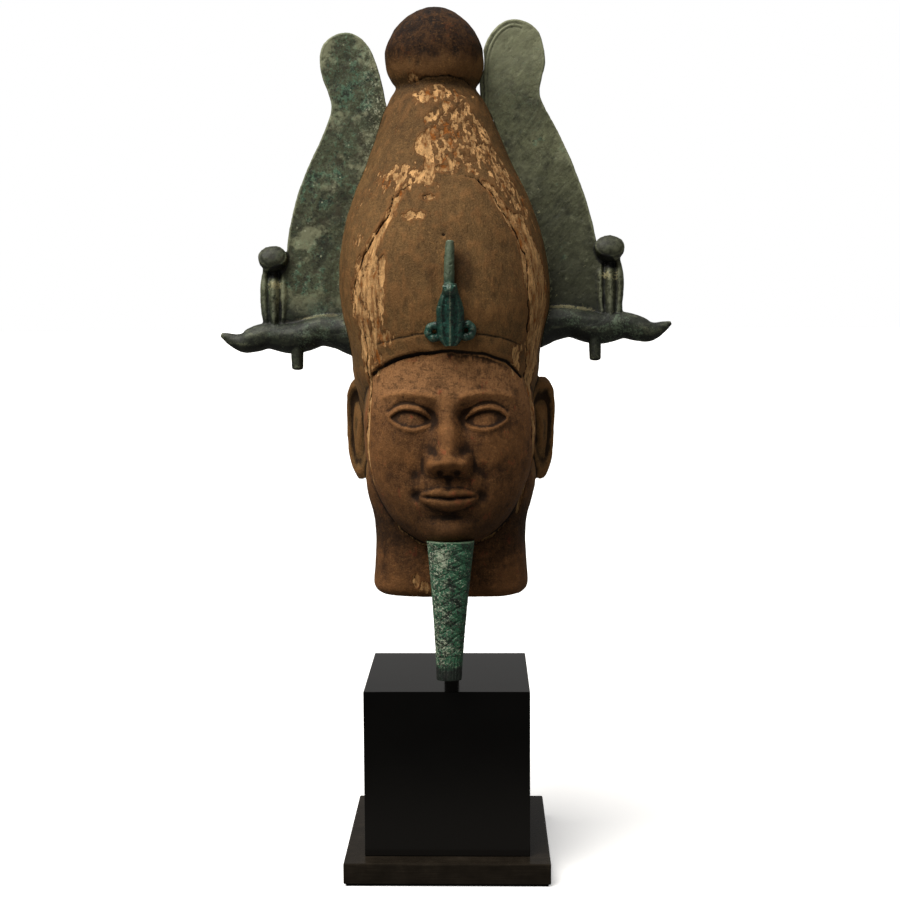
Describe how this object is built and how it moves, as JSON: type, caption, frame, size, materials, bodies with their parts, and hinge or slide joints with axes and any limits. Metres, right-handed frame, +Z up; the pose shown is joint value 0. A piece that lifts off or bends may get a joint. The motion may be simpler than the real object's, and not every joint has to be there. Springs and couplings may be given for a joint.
{
  "type": "osiris head sculpture",
  "caption": "Carved wooden head in a tall crown with cast bronze plumes, ram horns, cobras and plaited beard, on a post over a black block and plinth.",
  "frame": {"origin": "centre of the stand's underside, which rests on the surface", "axes": "+Z up; the face looks along -Y; +X is the viewer's right"},
  "size_m": [0.3915, 0.2065, 0.7386],
  "materials": {
    "old_wood": "old carved wood, brown and dry, with patches of worn pale gesso",
    "green_bronze": "old bronze with a matt grey-green patina",
    "bright_green_bronze": "old bronze with a bright blue-green patina",
    "black_post": "satin black painted steel",
    "black_lacquer": "polished black lacquer",
    "dark_plate": "dark brown-black patinated metal, softly polished",
    "black_felt": "black felt"
  },
  "bodies": {
    "root": {"head_and_crown": "old_wood", "plume_and_horn_left": "green_bronze", "plume_and_horn_right": "green_bronze", "brow_cobra": "bright_green_bronze", "beard": "bright_green_bronze", "post": "black_post", "block": "black_lacquer", "plinth": "dark_plate", "felt_pad": "black_felt"}
  },
  "joints": []
}
